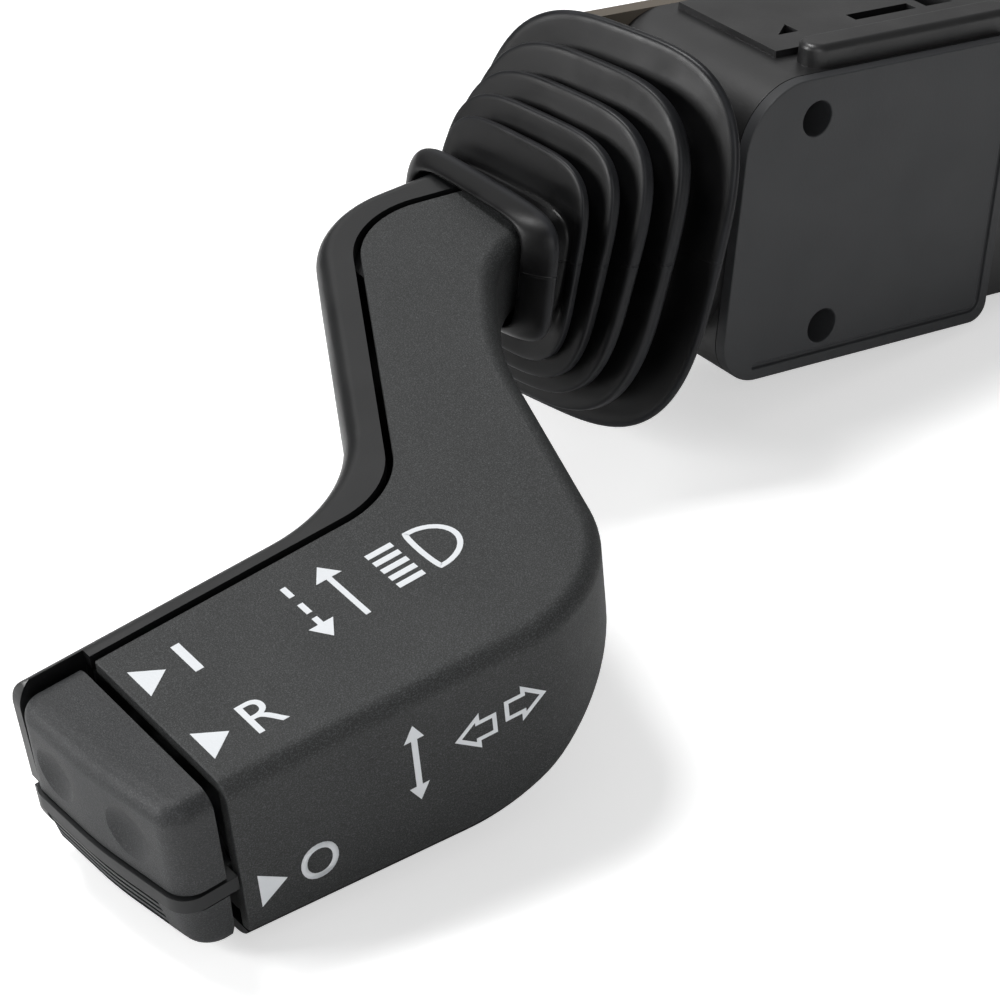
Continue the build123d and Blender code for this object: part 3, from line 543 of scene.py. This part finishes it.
@dataclass
class Bellows:
    """The rubber bellows, in two pieces that meet in a valley.

    A step is how far a ring lies ahead of its fold, towards the stalk, and how far inside it. Where it has a
    third value, that is the ring's power.
    """

    dresser: Dresser
    axis_y: float = 16.5
    points: int = 144
    swell: float = 0.3
    crisp_degrees: float = 60.0
    folds: Tuple[Fold, ...] = (
        Fold(-29.2, 24.2, 28.2, 11.5, -12.0, 1.45, 3.2),
        Fold(-35.2, 21.2, 24.6, 9.0, -13.0, 1.0, 3.3),
        Fold(-39.2, 19.4, 21.0, 7.5, -13.0, 0.85, 3.5),
        Fold(-42.3, 17.4, 18.0, 6.5, -10.5, 0.7, 3.9),
        Fold(-44.5, 15.4, 15.2, 4.5, -6.5, 0.55, 4.2),
    )
    valleys: Tuple[Valley, ...] = (Valley(4.4, 3.2), Valley(4.2, 3.4), Valley(4.0, 3.7), Valley(3.4, 4.2))
    # The wall that sits in the housing, and the wide lip against it
    root_steps: Outline = ((-5.0, 7.9), (-5.0, 6.2), (-0.2, 6.2))
    lip_steps: Outline = ((-0.15, 0.9), (0.05, 0.25), (0.5, 0.0), (0.9, 0.0), (1.3, 0.3), (1.45, 0.9), (1.4, 1.7))
    # Across a bead, in shares of its half width: flank, shoulder, nearly flat top, shoulder, flank
    bead_steps: Outline = ((-0.97, 1.7), (-1.0, 0.62), (-0.85, 0.14), (-0.45, 0.0), (0.0, 0.1), (0.45, 0.0),
                           (0.85, 0.14), (1.0, 0.62), (0.97, 1.7))
    # A valley's corner: off the bead, and above the bottom
    corner_steps: Outline = ((0.08, 1.0), (0.2, 0.0))
    # The free ends of both pieces, where they meet, and how deep the first one's inside lies
    parting_insides: Tuple[float, float] = (4.1, 5.2)
    base_inside: float = 8.6
    face: Fold = Fold(-44.5, 13.2, 8.0, 4.5, -6.5)
    face_steps: Sequence[Spot] = ((0.5, -0.9, 4.4), (0.54, -0.2, 4.4), (0.75, 0.15, 4.6))
    neck: Fold = Fold(-46.4, 14.4, 9.4, 2.0, -3.0)
    neck_steps: Sequence[Spot] = ((0.3, 1.5, 4.8), (1.4, 1.4, 4.8))
    # Thick collar roll, then its lip, which dips towards the bore: place, and how far inside in y and in z
    collar: Fold = Fold(0.0, 17.2, 9.9, 0.0, -2.0, power=5.0)
    collar_roll: Sequence[Spot] = (
        (-47.95, 1.5, 0.6), (-48.0, 0.6, 0.3), (-48.3, 0.15, 0.08), (-48.8, 0.0, 0.0), (-49.3, 0.12, 0.06),
        (-49.9, 0.55, 0.25), (-50.6, 1.25, 0.5), (-51.3, 2.2, 0.85), (-51.85, 3.2, 1.2), (-52.0, 3.75, 1.5))
    bore: Fold = Fold(-52.0, 12.75, 7.75, 0.0, -2.0)
    bore_steps: Sequence[Spot] = ((-0.1, 0.0, 6.0), (-2.6, 0.0, 6.0), (-6.6, 0.9, 5.0))
    # Where the bending of the two pieces starts and ends
    root_x: float = -30.0
    parting_x: float = -40.8
    neck_x: float = -46.6
    # How far below a crest the mould bloom and painted highlight fade out, in millimetres, and how many rings away
    # that is looked up
    bloom_and_highlight_drop: float = 0.45
    bloom_and_highlight_reach: int = 3

    def ring(self, fold: Fold, ahead: float, inside: float, swell: float = 0.0) -> Ring:
        """Place the points of one ring round the bellows.

        Args:
            fold: the section that the ring belongs to.
            ahead: how far the ring lies towards the stalk.
            inside: how far inside the section it runs.
            swell: share by which ahead grows on the near side and falls on the far side.

        Returns:
            The ring's points in metres.
        """
        yaw, pitch = math.radians(fold.yaw), math.radians(fold.pitch)
        normal = Vector((math.cos(yaw) * math.cos(pitch), math.sin(yaw) * math.cos(pitch), math.sin(pitch)))
        side = Vector((-math.sin(yaw), math.cos(yaw), 0))
        rise = normal.cross(side)
        middle = Vector((fold.x, self.axis_y, 0)) - normal * ahead
        out = []
        for i in range(self.points):
            turn = 2 * math.pi * i / self.points
            c, s = math.cos(turn), math.sin(turn)
            y = (fold.half_y - inside) * math.copysign(abs(c) ** (2 / fold.power), c)
            z = (fold.half_z - inside) * math.copysign(abs(s) ** (2 / fold.power), s)
            out.append((middle + side * y + rise * z + normal * (ahead * swell * c)) * MM)
        return out

    def run(self, fold: Fold, steps: Sequence[Spot]) -> List[Ring]:
        """Rings along one section, from steps with a power each."""
        return [self.ring(replace(fold, power=power), ahead, inside) for ahead, inside, power in steps]

    def halfway(self, behind: Fold, front: Fold, power: float) -> Fold:
        """Find the section halfway between two others.

        Args:
            behind: the one nearer to the housing.
            front: the one nearer to the stalk.
            power: how square its corners are.

        Returns:
            The section, without a bead.
        """
        middle = [getattr(behind, key) + (getattr(front, key) - getattr(behind, key)) / 2
                  for key in ("x", "half_y", "half_z", "yaw", "pitch")]
        return Fold(*middle, power=power)

    def valley(self, number: int) -> List[Ring]:
        """Lay the wide bottom between two crests: along the back of one, then the front of the next.

        Args:
            number: the first crest's place in the row.

        Returns:
            Two rings on each side.
        """
        behind, front, bottom = self.folds[number], self.folds[number + 1], self.valleys[number]
        back = replace(behind, half_y=front.half_y, half_z=front.half_z, power=bottom.power)
        ahead = replace(front, power=bottom.power)
        out = [self.ring(back, back.half_bead + off, bottom.depth - above, self.swell)
               for off, above in self.corner_steps]
        out += [self.ring(ahead, -ahead.half_bead - off, bottom.depth - above, self.swell)
                for off, above in reversed(self.corner_steps)]
        return out

    def crest(self, number: int) -> List[Ring]:
        """The bead on top of a fold: its flanks, its round shoulders and its nearly flat top."""
        fold = self.folds[number]
        return [self.ring(fold, fold.half_bead * share, inside, self.swell) for share, inside in self.bead_steps]

    def base(self, parting: List[Ring]) -> List[Ring]:
        """Lay the rings of the piece at the housing.

        Args:
            parting: the rings of its free end, from outside in.

        Returns:
            The rings, from the housing to the free end and back inside.
        """
        rings = [self.ring(self.folds[0], ahead, inside) for ahead, inside in (*self.root_steps, *self.lip_steps)]
        rings += self.valley(0) + self.crest(1) + self.valley(1) + self.crest(2) + self.valley(2)[:2] + parting
        inner = self.halfway(self.folds[0], self.folds[1], self.valleys[1].power)
        return rings + [self.ring(inner, 0.0, self.base_inside)]

    def outer(self, parting: List[Ring]) -> List[Ring]:
        """Lay the rings of the piece at the stalk.

        Args:
            parting: the rings of its free end, from outside in.

        Returns:
            The rings, from the free end over the collar and back through the bore.
        """
        rings = parting[::-1] + self.valley(2)[2:] + self.crest(3) + self.valley(3) + self.crest(4)
        rings += self.run(self.face, self.face_steps) + self.run(self.neck, self.neck_steps)
        high = self.collar.half_z
        for x, inside_y, inside_z in self.collar_roll:
            roll = self.ring(replace(self.collar, x=x), 0.0, inside_y)
            for point in roll:
                point.z *= (high - inside_z) / (high - inside_y)
            rings.append(roll)
        return rings + self.run(self.bore, self.bore_steps)

    def mark_bloom_and_highlight(self, item: bpy.types.Object, rings: Sequence[Ring]) -> None:
        """Store on each point how far the mould bloom and the painted highlight show there: most on the shoulders of
        a crest.

        Args:
            item: the lofted piece, its points in the order of the rings.
            rings: the rings that it was lofted from.
        """
        reach = [max((p - Vector((p.x, self.axis_y * MM, 0))).length for p in ring) for ring in rings]
        # Share of mould bloom and painted highlight, stored on each point for the rubber's shader
        layer = item.data.attributes.new("bloom_and_highlight", "FLOAT", "POINT")
        last = len(rings) - 1
        for k, size in enumerate(reach):
            dip = max(reach[max(0, k - self.bloom_and_highlight_reach)], reach[min(last, k + self.bloom_and_highlight_reach)]) - size
            value = max(0.0, min(1.0, 1.0 - dip / (self.bloom_and_highlight_drop * MM))) if k not in (0, last) else 0.0
            for i in range(self.points):
                layer.data[k * self.points + i].value = value

    def mould(self, name: str, rings: Sequence[Ring]) -> None:
        """Make one piece.

        Args:
            name: the piece's name.
            rings: its rings.
        """
        item = loft(name, rings, True)
        self.mark_bloom_and_highlight(item, rings)
        self.dresser.paint(item, RUBBER)
        fine = item.modifiers.new("soft_folds", "SUBSURF")
        fine.levels = 1
        fine.render_levels = 1
        activate(item)
        bpy.ops.object.modifier_apply(modifier=fine.name)
        smooth(item, self.crisp_degrees)
        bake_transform(item)
        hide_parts("boot")
        LOG.info("%s: %d faces", name, len(item.data.polygons))

    def build(self) -> None:
        """Make both halves."""
        behind, front = self.folds[2], self.folds[3]
        seam = replace(self.halfway(behind, front, self.valleys[2].power), half_y=front.half_y, half_z=front.half_z)
        parting = [self.ring(seam, 0.0, inside) for inside in self.parting_insides]
        self.mould("bellows_base", self.base(parting))
        self.mould("bellows_outer", self.outer(parting))


@dataclass
class Stalk:
    """The two shells of the stalk."""

    dresser: Dresser

    def build(self) -> None:
        """Soften the shells' edges and give them their grain."""
        self.dresser.refine("stalk_front_shell", GRAINED_ABS, 0.45, 3)
        self.dresser.refine("stalk_rear_shell", SMOOTH_ABS, 0.3)


@dataclass
class TipKeys:
    """The rocker, the band and the ribbed button in the stalk's end."""

    dresser: Dresser

    def build(self) -> None:
        """Soften the keys' edges."""
        self.dresser.refine("rocker_key", KEY_ABS, 0.45, 3)
        self.dresser.refine("off_button", KEY_ABS, 0.18, 2)
        self.dresser.refine("tip_bezel", BAND_ABS, 0.2, 2)


@dataclass(frozen=True)
class Coil:
    """A coil spring that shortens as a joint moves: its far end, its line and what is left of its length."""

    node: str
    joint: str
    line: Spot
    far_end: Spot
    keep: float


@dataclass
class Springs:
    """The return spring of the button and the spring behind the detent nose."""

    dresser: Dresser
    coils: Tuple[Coil, ...] = (
        Coil("button_spring", "off_button", (0.9659, 0.0, 0.2588), (-130.37, -37.85, -41.66), 0.706),
        Coil("plunger_spring", "detent_plunger", (-1.0, 0.0, 0.0), (0.36, 16.5, 0.0), 0.895),
    )

    def build(self) -> None:
        """Copy both springs."""
        for coil in self.coils:
            item = self.dresser.refine(coil.node, WIRE, 0.0)
            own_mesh(item)


@dataclass
class Housing:
    """The switch's box with its side cover."""

    dresser: Dresser

    def build(self) -> None:
        """Soften the moulded edges."""
        self.dresser.refine("side_cover", COVER_NYLON, 0.35, 3)
        self.dresser.refine("housing_case", HOUSING_NYLON, 0.3, 2)


def bar(half_x: float, half_y: float) -> Outline:
    """The outline of an upright rectangle, from its half sizes."""
    return [(-half_x, -half_y), (half_x, -half_y), (half_x, half_y), (-half_x, half_y)]


def arrow(half_line: float, tail: float, neck: float, half_head: float, tip: float) -> Outline:
    """Draw a filled arrow that points up.

    Args:
        half_line: half the width of its shaft.
        tail: where the shaft ends.
        neck: where the head starts.
        half_head: half the width of the head.
        tip: where the head ends.

    Returns:
        Its corners.
    """
    return [(-half_line, tail), (half_line, tail), (half_line, neck), (half_head, neck), (0.0, tip),
            (-half_head, neck), (-half_line, neck)]


def turned(outline: Outline) -> Outline:
    """The same outline turned half round."""
    return [(-x, -y) for x, y in outline]


@dataclass
class Symbols:
    """Generic printed symbols on the stalk.

    On the top, s runs along the stalk and v across it. On the near side, v is the height.
    """

    dresser: Dresser
    stalk: StalkFrame
    lift: float = 0.02
    ink_thickness: float = 0.04
    # The near side: where it lies at one place along the stalk, and how it draws in towards the tip
    near_s: float = -84.0
    near_t: float = -71.7
    near_taper: float = 4.1 / 57.5
    pointer: Outline = ((-1.9, -2.7), (1.9, 0.0), (-1.9, 2.7))
    arrow_pair: Outline = ((-0.42, -3.8), (-1.4, -3.8), (0.0, -6.2), (1.4, -3.8), (0.42, -3.8), (0.42, 3.8),
                           (1.4, 3.8), (0.0, 6.2), (-1.4, 3.8), (-0.42, 3.8))
    turn_arrow: Outline = ((-3.0, 0.0), (0.6, -2.9), (0.6, -1.65), (3.0, -1.65), (3.0, 1.65), (0.6, 1.65), (0.6, 2.9))
    turn_stroke: float = 0.6
    lamp_stroke: float = 0.75
    beams: int = 5
    beam_pitch: float = 1.67

    def side_t(self, s: float) -> float:
        """Where the near face lies at a place along the stalk."""
        return self.near_t - (s - self.near_s) * self.near_taper

    def place(self, facing: Facing, s: float, v: float, x: float, y: float) -> Vector:
        """Find a point of a symbol, from its own x and y in millimetres.

        Args:
            facing: the printed surface.
            s: the symbol's place along the stalk.
            v: its place across the top, or its height on the side.
            x: along the reading direction from there.
            y: up from there.

        Returns:
            The point in metres.
        """
        if facing is Facing.TOP:
            return self.stalk.point(s + x, v + y, self.lift)
        return self.stalk.point(s + x, self.side_t(s + x) - self.lift, v + y)

    def shape(self, name: str, facing: Facing, s: float, v: float, outline: Outline, stroke: float = 0.0) -> None:
        """Print one closed shape, filled or as a stroke.

        Args:
            name: the piece's name.
            facing: the printed surface.
            s: place along the stalk.
            v: place across it, or height.
            outline: corners in the symbol's own x and y, anticlockwise.
            stroke: width of the line, or 0 for a filled shape.
        """
        deselect()
        bpy.ops.mesh.primitive_circle_add(vertices=len(outline), radius=0.01, fill_type="NGON")
        item = bpy.context.object
        item.name = name
        for vert, (x, y) in zip(item.data.vertices, outline):
            vert.co = (x * MM, y * MM, 0)
        if stroke > 0:
            bpy.ops.object.mode_set(mode="EDIT")
            bpy.ops.mesh.select_mode(type="FACE")
            bpy.ops.mesh.select_all(action="SELECT")
            bpy.ops.mesh.inset(thickness=stroke * MM, use_even_offset=True)
            bpy.ops.mesh.delete(type="FACE")
            bpy.ops.object.mode_set(mode="OBJECT")
        self.finish_print(item, facing, s, v)

    def finish_print(self, item: bpy.types.Object, facing: Facing, s: float, v: float) -> None:
        """Lay a flat shape on the stalk and give it the ink's thickness and finish.

        Args:
            item: the flat shape.
            facing: the printed surface.
            s: place along the stalk.
            v: place across it, or height.
        """
        activate(item)
        bpy.ops.object.mode_set(mode="EDIT")
        bpy.ops.mesh.select_all(action="SELECT")
        bpy.ops.mesh.quads_convert_to_tris()
        bpy.ops.object.mode_set(mode="OBJECT")
        for vert in item.data.vertices:
            vert.co = self.place(facing, s, v, vert.co.x / MM, vert.co.y / MM)
        ink = item.modifiers.new("ink", "SOLIDIFY")
        ink.thickness = self.ink_thickness * MM
        ink.offset = 0.0
        bpy.ops.object.modifier_apply(modifier=ink.name)
        bpy.ops.object.mode_set(mode="EDIT")
        bpy.ops.mesh.select_all(action="SELECT")
        bpy.ops.mesh.normals_make_consistent(inside=False)
        bpy.ops.object.mode_set(mode="OBJECT")
        self.dresser.paint(item, INK)
        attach(item, "lever")
        LOG.info("%s: %d faces", item.name, len(item.data.polygons))

    def letter(self, text: str, facing: Facing, s: float, v: float, height: float, width: float,
               bolder: float = 0.0) -> None:
        """Print one plain letter, centred on its place.

        Args:
            text: the letter.
            facing: the printed surface.
            s: place along the stalk.
            v: place across it, or height.
            height: its height.
            width: its width.
            bolder: how much its strokes are drawn out, in metres before it is brought to its size.
        """
        deselect()
        bpy.ops.object.text_add()
        words = bpy.context.object
        words.data.body = text
        words.data.size = 0.01
        words.data.resolution_u = 6
        words.data.offset = bolder
        activate(words)
        bpy.ops.object.convert(target="MESH")
        item = bpy.context.object
        item.name = "print_letter_" + text
        xs = [vert.co.x for vert in item.data.vertices]
        ys = [vert.co.y for vert in item.data.vertices]
        mid_x, mid_y = (min(xs) + max(xs)) / 2, (min(ys) + max(ys)) / 2
        grow_x, grow_y = width * MM / (max(xs) - min(xs)), height * MM / (max(ys) - min(ys))
        for vert in item.data.vertices:
            vert.co = ((vert.co.x - mid_x) * grow_x, (vert.co.y - mid_y) * grow_y, 0)
        self.finish_print(item, facing, s, v)

    def lamp(self) -> Outline:
        """The outline of the lamp: a round front, and a back that bulges a little."""
        def front(degrees: float) -> Tuple[float, float]:
            """A point of the front."""
            return -1.6 + 5.1 * math.sin(math.radians(degrees)), -4.2 * math.cos(math.radians(degrees))

        def back(degrees: float) -> Tuple[float, float]:
            """A point of the back."""
            return -2.0 - 0.5 * math.cos(math.radians(degrees)), 4.1 * math.sin(math.radians(degrees))

        return ([(-2.0, -4.2)] + [front(a) for a in range(8, 176, 8)] + [(-2.0, 4.2)]
                + [back(a) for a in range(72, -73, -12)])

    def key_marks(self) -> None:
        """Print the marks of the tip's keys: pointers, I, R and O."""
        self.shape("print_pointer_upper", Facing.TOP, s=-80.2, v=-50.45, outline=self.pointer)
        self.shape("print_pointer_lower", Facing.TOP, s=-80.25, v=-64.2, outline=self.pointer)
        self.shape("print_bar_I", Facing.TOP, s=-75.2, v=-50.4, outline=bar(0.6, 2.8))
        self.letter("R", Facing.TOP, s=-73.75, v=-64.2, height=5.5, width=4.3)
        self.shape("print_pointer_side", Facing.SIDE, s=-80.05, v=-18.65, outline=self.pointer)
        self.letter("O", Facing.SIDE, s=-73.65, v=-18.65, height=5.6, width=5.2, bolder=0.0001)

    def lamp_marks(self) -> None:
        """Print the marks of the head lamp: an arrow away, a broken one back, the beam and the lamp."""
        self.shape("print_arrow_away", Facing.TOP, s=-54.35, v=-53.2, outline=arrow(0.38, -5.5, 2.9, 1.9, 5.5))
        near = turned(arrow(0.4, -2.1, -0.7, 1.8, 2.1))
        self.shape("print_arrow_near_head", Facing.TOP, s=-59.75, v=-57.0, outline=near)
        for i, v in enumerate((-49.05, -52.8)):
            self.shape(f"print_arrow_dash_{i}", Facing.TOP, s=-59.7, v=v, outline=bar(0.4, 1.05))
        for i in range(self.beams):
            v = -53.8 + self.beam_pitch * (i - self.beams // 2)
            self.shape(f"print_beam_bar_{i}", Facing.TOP, s=-46.9, v=v, outline=bar(1.95, 0.46))
        self.shape("print_lamp", Facing.TOP, s=-40.9, v=-53.9, outline=self.lamp(), stroke=self.lamp_stroke)

    def turn_marks(self) -> None:
        """Print the marks of the turn signal on the near side."""
        self.shape("print_arrow_up_down", Facing.SIDE, s=-59.2, v=-11.1, outline=self.arrow_pair)
        self.shape("print_turn_left", Facing.SIDE, s=-50.8, v=-11.1, outline=self.turn_arrow, stroke=self.turn_stroke)
        right = turned(self.turn_arrow)
        self.shape("print_turn_right", Facing.SIDE, s=-43.6, v=-10.2, outline=right, stroke=self.turn_stroke)

    def build(self) -> None:
        """Print all the symbols."""
        self.key_marks()
        self.lamp_marks()
        self.turn_marks()


@dataclass(frozen=True)
class SoftBox:
    """One soft square lamp: its place in metres, its side and its power in watts."""

    name: str
    place: Spot
    side: float
    power: float


@dataclass
class Studio:
    """Floor, lights and the camera of the photograph, in metres."""

    # The camera's place, its own directions and its lens in millimetres, as fitted to the photograph
    centre: Spot = (-0.324359, -0.335186, 0.195213)
    right: Spot = (0.801688, -0.592524, 0.078812)
    up: Spot = (0.222100, 0.417688, 0.881027)
    ahead: Spot = (0.554949, 0.688805, -0.466455)
    lens: float = 124.939
    sensor: float = 36.0
    boxes: Tuple[SoftBox, ...] = (
        SoftBox("back_left_box", (-0.38, 0.30, 0.92), 0.26, 5.6),
        SoftBox("back_box", (0.30, 0.70, 0.70), 0.9, 1.2),
        SoftBox("left_box", (-0.95, 0.38, 0.26), 0.3, 5.4),
        SoftBox("front_fill", (-0.50, -0.85, 0.35), 0.6, 1.9),
    )
    aim: Spot = (-0.05, 0.0, 0.0)
    # The object rests on the stalk's tip and its housing, so the floor slopes along x
    floor_side: float = 6.0
    floor_x: float = -0.137
    floor_z: float = -0.05
    floor_slope: float = 0.1465
    floor_colour: str = "fafafa"
    floor_glow: float = 0.52
    room_light: float = 0.18

    def camera(self) -> None:
        """Set the camera where the photograph's was."""
        data = bpy.data.cameras.new("photo_camera")
        data.lens = self.lens
        data.sensor_width = self.sensor
        data.sensor_fit = "AUTO"
        data.clip_start = 0.01
        item = bpy.data.objects.new("photo_camera", data)
        bpy.context.scene.collection.objects.link(item)
        right, up, ahead = Vector(self.right), Vector(self.up), Vector(self.ahead)
        turn = Matrix((right, up, -ahead)).transposed().to_4x4()
        item.matrix_world = Matrix.Translation(Vector(self.centre)) @ turn
        bpy.context.scene.camera = item

    def lamp(self, box: SoftBox) -> None:
        """Add one soft lamp that looks at the object.

        Args:
            box: the lamp.
        """
        data = bpy.data.lights.new(box.name, "AREA")
        data.shape = "SQUARE"
        data.size = box.side
        data.energy = box.power
        item = bpy.data.objects.new(box.name, data)
        bpy.context.scene.collection.objects.link(item)
        look = Vector(self.aim) - Vector(box.place)
        item.rotation_euler = look.to_track_quat("-Z", "Y").to_euler()
        item.location = box.place

    def floor(self) -> None:
        """Lay a pale floor under the object, which the camera sees a little brighter than the lamps light it."""
        deselect()
        bpy.ops.mesh.primitive_plane_add(size=self.floor_side)
        item = bpy.context.object
        item.name = "floor"
        for vert in item.data.vertices:
            vert.co.z = self.floor_z + self.floor_slope * (vert.co.x - self.floor_x)
        material, tree = start_material("pale_paper_floor")
        paper = add_node(tree, "ShaderNodeBsdfDiffuse", {"Color": linear(self.floor_colour)})
        path = add_node(tree, "ShaderNodeLightPath")
        glow = add_node(tree, "ShaderNodeMath", {"operation": "MULTIPLY", 1: self.floor_glow},
                        {0: path.outputs["Is Camera Ray"]})
        lit = add_node(tree, "ShaderNodeEmission", {"Color": (1, 1, 1, 1)}, {"Strength": glow.outputs[0]})
        both = add_node(tree, "ShaderNodeAddShader", {}, {0: paper.outputs[0], 1: lit.outputs[0]})
        add_node(tree, "ShaderNodeOutputMaterial", {}, {"Surface": both.outputs[0]})
        item.data.materials.append(material)

    def world(self) -> None:
        """Fill the room with even white light, and show plain white behind the floor."""
        world = bpy.data.worlds.new("studio")
        bpy.context.scene.world = world
        world.use_nodes = True
        tree = world.node_tree
        tree.nodes.clear()
        path = add_node(tree, "ShaderNodeLightPath")
        strength = add_node(tree, "ShaderNodeMapRange", {"To Min": self.room_light, "To Max": 1.0},
                            {"Value": path.outputs["Is Camera Ray"]})
        sky = add_node(tree, "ShaderNodeBackground", {"Color": (1, 1, 1, 1)}, {"Strength": strength.outputs[0]})
        add_node(tree, "ShaderNodeOutputWorld", {}, {"Surface": sky.outputs[0]})

    def build(self) -> None:
        """Set the room up."""
        self.camera()
        self.world()
        for box in self.boxes:
            self.lamp(box)
        self.floor()
        bpy.context.scene.view_settings.view_transform = "Standard"
        LOG.info("studio: %d lamps, floor and camera", len(self.boxes))


INNER_FINISHES: Dict[str, Finish] = {
    "contact_base": PHENOLIC, "contact_rivets": COPPER, "connector_header": BLACK_NYLON, "terminal_blades": TIN,
    "boot_frame": HOUSING_NYLON, "detent_track": ACETAL, "beam_contact_board": LAMINATE, "beam_pads": COPPER,
    "finger_pin": STEEL, "finger_spring": WIRE, "turn_carrier": ACETAL, "lever_pin": STEEL,
    "lever_core": BLACK_NYLON, "shell_screws": ZINC, "key_board": LAMINATE, "key_switches": BLACK_NYLON,
    "rocker_pin": STEEL, "detent_plunger": ACETAL, "cancel_finger": ACETAL, "turn_slider": ACETAL,
    "turn_wipers": COPPER, "beam_slider": ACETAL, "beam_wipers": COPPER,
}


@dataclass
class InnerWorks:
    """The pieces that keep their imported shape: contacts, pivots, boards, screws and the plug."""

    dresser: Dresser

    def build(self) -> None:
        """Give each piece its finish."""
        for node, recipe in INNER_FINISHES.items():
            self.dresser.paint(self.dresser.nodes[node], recipe)
            LOG.info("%s: %s", node, recipe.name)


def main() -> None:
    """Load the frame, dress every piece and set up the studio."""
    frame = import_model()
    record = frame["record"]
    bodies = {node: body for body, members in record["behaviour"]["bodies"].items() for node in members}
    slots = {part["node"]: part["material_slot"] for part in record["subparts"]}
    dresser = Dresser(frame["nodes"], bodies, slots)
    deselect()
    for assembly in (InnerWorks(dresser), Housing(dresser), Stalk(dresser), TipKeys(dresser), Springs(dresser),
                     Bellows(dresser), Symbols(dresser, StalkFrame.standard())):
        assembly.build()
    Studio().build()
    deselect()


if __name__ == "__main__":
    main()
